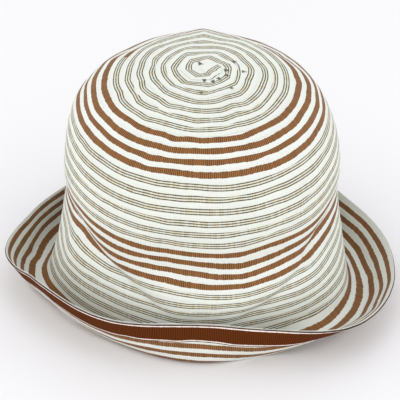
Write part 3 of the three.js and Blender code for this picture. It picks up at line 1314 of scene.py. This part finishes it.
    def sheet(self, length: RibbonLength) -> bpy.types.Mesh:
        """Lays one length of ribbon on the form as a sheet.

        Args:
            length: The length to lay.

        Returns:
            A mesh of the sheet, half a ribbon's thickness below its middle.
        """
        count = int(round((length.end - length.start) * self.steps_per_turn)) + 1
        coil = np.linspace(length.start, length.end, count)
        is_tip = length.start < 1
        share = np.linspace(0, 1, self.tip_steps_across if is_tip else self.steps_across)
        inner, outer = self.inner_reach(coil), self.outer_reach(coil)
        reach = inner[:, None] * (1 - share) + outer[:, None] * share
        along = self.along(coil)
        turn = self.middle_turn(coil, along)[:, None] + reach
        bearing = np.broadcast_to(self.bearing(coil)[:, None], turn.shape)
        turn = turn + self.kinked(turn, bearing)
        turn = np.clip(turn, self.least_turn, self.form.edge_turn(self.bearing(coil))[:, None])
        along = np.broadcast_to(along[:, None], turn.shape)
        raised = np.zeros(turn.shape)
        if is_tip:
            reach_in, back, turn_in, bearing_in = self.straight_end(coil[0])
            turn, bearing = np.concatenate([turn_in, turn]), np.concatenate([bearing_in, bearing])
            reach = np.concatenate([reach_in, reach])
            along = np.concatenate([along[:1] + back, along])
            gone = (along[-len(coil)] - along) / self.tail
            raised = np.clip(gone * self.tail_ramp, 0, 1) * self.tail_lift
        # Painted shadows of the pleats, kept for the lined ribbon's colour
        pleat_shadow = self.pleat_shade(turn, bearing)
        turn = self.pleated(turn, bearing)
        lap = self.lap_rise * np.clip(reach, -self.half_width, self.half_width)
        depth = self.middle_depth(turn) - lap + self.thickness / 2
        points = self.form.points(turn, bearing, depth - raised)
        uv = np.stack([along, reach * self.form.turn_width], axis=-1)
        out = self.form.outward(turn, bearing)
        return sheet_mesh(length.name, points, uv, out, read_row(SLACK, turn), pleat_shadow)

    def seam(self) -> bpy.types.Mesh:
        """The path of the stitches, a little in from the outer edge of every turn but the last.

        Returns:
            A mesh of the path.
        """
        count = int((self.seam_end - self.seam_start) * self.steps_per_turn)
        coil = np.linspace(self.seam_start, self.seam_end, count)
        reach = np.full(coil.shape, self.half_width - self.seam_inset)
        bearing = self.bearing(coil)
        turn = self.middle_turn(coil, self.along(coil)) + reach
        turn = self.pleated(turn + self.kinked(turn, bearing), bearing)
        depth = self.middle_depth(turn) - self.lap_rise * reach - self.thickness / 2
        points = self.form.points(turn, bearing, depth)
        return path_mesh("lap_seam", points, self.form.outward(turn, bearing), read_row(SLACK, turn))

    def build(
        self,
        trees: SewingTrees,
        cloths: dict[Kind, bpy.types.Material],
        slots: dict[Kind, str],
        cotton: bpy.types.Material,
    ) -> list[bpy.types.Object]:
        """Builds every length of ribbon and the stitches along its laps.

        Args:
            trees: The geometry node trees.
            cloths: The material of each kind of ribbon.
            slots: The record's slot of each kind of ribbon, which is not used.
            cotton: The thread's material.

        Returns:
            The finished pieces.
        """
        pieces = []
        for length in self.lengths:
            values = {"Thickness": self.thickness, "Cloth": cloths[length.kind], **self.pucker.values()}
            piece = worked(self.sheet(length), trees.ribbon, length.name, **values)
            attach(piece, "root")
            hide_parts(*length.stands_for)
            pieces.append(piece)
        stitches = worked(
            self.seam(),
            trees.stitches,
            "lap_stitches",
            Pitch=self.stitch_pitch,
            Stitch_Length=self.stitch_length,
            Thread=self.thread,
            Cotton=cotton,
            **self.pucker.values(),
        )
        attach(stitches, "root")
        pieces.append(stitches)
        return pieces


@dataclass
class EdgeFacing:
    """The brown ribbon that is sewn to the underside of the brim's edge, its ends lapped."""

    form: HatForm
    width: float = 13.2 * MM
    inset: float = 0.5 * MM
    thickness: float = 0.35 * MM
    depth: float = 1.2 * MM
    start_bearing: float = 200.0
    lap: float = 9.0
    lap_depth: float = 0.4 * MM
    steps_around: int = 740
    steps_across: int = 11
    pucker: Pucker = Pucker()
    slack: float = 0.6
    wander: Wander = Wander(seed=21, spacing=9 * MM)
    waver: float = 1.1 * MM
    waver_radius: float = 118 * MM

    def sheet(self) -> bpy.types.Mesh:
        """Lays the facing under the brim's edge as a sheet, its inner edge wavering.

        Returns:
            A mesh of the sheet.
        """
        bearing = np.linspace(
            self.start_bearing, self.start_bearing + 360 + self.lap, self.steps_around
        )
        across = np.linspace(-0.5, 0.5, self.steps_across) * self.width
        wave = self.wander.at(np.radians(bearing) * self.waver_radius)[:, None] * self.waver
        loose = wave * (0.5 - across / self.width)
        turn = self.form.edge_turn(bearing)[:, None]
        turn = turn + (across - self.width / 2 - self.inset + loose) / self.form.turn_width
        around = np.broadcast_to(bearing[:, None], turn.shape)
        sunk = np.linspace(0, self.lap_depth, self.steps_around)[:, None]
        points = self.form.points(turn, around, self.depth + self.thickness + sunk)
        length = np.linalg.norm(np.diff(points[:, -1], axis=0), axis=1).sum()
        along = np.arange(self.steps_around)[:, None] / self.steps_around * length
        uv = np.stack(np.broadcast_arrays(along, across[None, :]), axis=-1)
        out = self.form.outward(turn, around)
        slack = np.full(turn.shape, self.slack)
        return sheet_mesh("edge_facing_ribbon", points, uv, out, slack, np.zeros(turn.shape))

    def build(self, trees: SewingTrees, cloth: bpy.types.Material, slot: str) -> list[bpy.types.Object]:
        """Builds the facing.

        Args:
            trees: The geometry node trees.
            cloth: The facing's material.
            slot: The record's slot of the facing, which is not used.

        Returns:
            The finished pieces.
        """
        values = {"Thickness": self.thickness, "Cloth": cloth, **self.pucker.values()}
        piece = worked(self.sheet(), trees.ribbon, "edge_facing_ribbon", **values)
        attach(piece, "root")
        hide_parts("edge_facing")
        return [piece]


# Floor, light and camera


@dataclass(frozen=True)
class Lamp:
    """A soft round lamp: where it hangs, how wide and strong it is, and its colour."""

    name: str
    place: Place
    size: float
    energy: float
    colour: Place


WARM, WHITE, COOL = (1.0, 0.99, 0.97), (1.0, 1.0, 1.0), (0.97, 0.98, 1.0)

LAMPS = (
    Lamp(name="key", place=(-0.8, -0.9, 1.3), size=1.0, energy=2.1, colour=WARM),
    Lamp(name="fill", place=(1.0, -0.8, 1.1), size=1.2, energy=2.0, colour=COOL),
    Lamp(name="front", place=(0.0, -1.5, 0.22), size=1.0, energy=3.2, colour=WARM),
    Lamp(name="left", place=(-1.5, 0.0, 0.45), size=1.2, energy=3.0, colour=WHITE),
    Lamp(name="right", place=(1.5, 0.0, 0.45), size=1.2, energy=2.6, colour=WHITE),
    Lamp(name="top", place=(0.0, 0.5, 1.8), size=1.4, energy=0.3, colour=WHITE),
)


@dataclass
class Studio:
    """A pale floor, soft light and the camera.

    The centre is the pixel of the photo that the camera's aim falls on.
    """

    form: HatForm
    distance: float = 1.2
    elevation: float = 32.5
    roll: float = 1.6
    aim_height: float = 39.6 * MM
    pixels_per_metre: float = 1550.0
    frame_pixels: float = 400.0
    centre: tuple[float, float] = (200.6, 214.6)
    sensor: float = 36.0
    near: float = 0.05
    far: float = 20.0
    lamps: tuple[Lamp, ...] = LAMPS
    lamps_aim: Place = (0, 0, 60 * MM)
    room_colour: Colour = (0.93, 0.95, 1.0, 1)
    room_light: float = 1.12
    floor_colour: Colour = (0.82, 0.80, 0.785, 1)
    floor_roughness: float = 0.7
    floor_reach: float = 3.0

    def camera(self) -> None:
        """Sets the camera at the photo's angle."""
        data = bpy.data.cameras.new("camera")
        data.sensor_width = self.sensor
        data.lens = self.pixels_per_metre * self.distance * self.sensor / self.frame_pixels
        data.shift_x = -(self.centre[0] - self.frame_pixels / 2) / self.frame_pixels
        data.shift_y = (self.centre[1] - self.frame_pixels / 2) / self.frame_pixels
        data.clip_start, data.clip_end = self.near, self.far
        camera = linked("camera", data)
        lift = math.radians(self.elevation)
        back = Vector((0, -math.cos(lift), math.sin(lift)))
        aim = Vector((-self.form.middle[0], -self.form.middle[1], self.aim_height))
        camera.matrix_world = (
            Matrix.Translation(aim + back * self.distance)
            @ (-back).to_track_quat("-Z", "Y").to_matrix().to_4x4()
            @ Matrix.Rotation(math.radians(self.roll), 4, "Z")
        )
        bpy.context.scene.camera = camera

    def hang(self, lamp: Lamp) -> None:
        """Hangs one lamp, which points at the hat.

        Args:
            lamp: The lamp's place, size and light.
        """
        data = bpy.data.lights.new(lamp.name, "AREA")
        data.shape = "DISK"
        data.size, data.energy, data.color = lamp.size, lamp.energy, lamp.colour
        made = linked(lamp.name, data)
        made.location = lamp.place
        towards = Vector(self.lamps_aim) - Vector(lamp.place)
        made.rotation_euler = towards.to_track_quat("-Z", "Y").to_euler()

    def floor(self) -> None:
        """Lays the floor."""
        mesh = bpy.data.meshes.new("floor")
        reach = self.floor_reach
        corners = [(-reach, -reach, 0), (reach, -reach, 0), (reach, reach, 0), (-reach, reach, 0)]
        mesh.from_pydata(corners, [], [(0, 1, 2, 3)])
        material, wires, shader = new_material("floor")
        wires.fill(shader, {"Base Color": self.floor_colour, "Roughness": self.floor_roughness})
        mesh.materials.append(material)
        floor = linked("floor", mesh)

    def room(self) -> None:
        """Fills the room with soft white light."""
        world = bpy.data.worlds.new("studio")
        world.use_nodes = True
        background = world.node_tree.nodes["Background"]
        Wiring(world.node_tree).fill(background, {"Color": self.room_colour, "Strength": self.room_light})
        bpy.context.scene.world = world
        bpy.context.scene.view_settings.view_transform = "Standard"

    def build(self) -> None:
        """Builds the studio."""
        self.camera()
        self.floor()
        self.room()
        for lamp in self.lamps:
            self.hang(lamp)


def main() -> None:
    """Dresses the hat and reports each piece."""
    logging.basicConfig(level=logging.INFO, format="%(name)s: %(message)s")
    form = HatForm()
    Studio(form).build()
    effects, trees = ClothEffects(), SewingTrees()
    lined = LinedFinish("lined_grosgrain", "lined_ribbon")
    striped = StripedFinish("striped_grosgrain", "striped_ribbon")
    facing = FacingFinish("facing_grosgrain", "facing_ribbon", sheen=0.0, specular=0.06)
    thread = ThreadFinish("sewing_thread")
    cloths = {Kind.LINED: lined.material(effects), Kind.STRIPED: striped.material(effects)}
    slots = {Kind.LINED: lined.slot, Kind.STRIPED: striped.slot}
    pieces = RibbonCoil(form).build(trees, cloths, slots, thread.material(effects))
    pieces += EdgeFacing(form).build(trees, facing.material(effects), facing.slot)
    for piece in pieces:
        size = ", ".join(f"{side / MM:.1f}" for side in piece.dimensions)
        triangles = sum(len(face.vertices) - 2 for face in piece.data.polygons)
        log.info("%s: %s mm, %d triangles", piece.name, size, triangles)


if __name__ == "__main__":
    main()
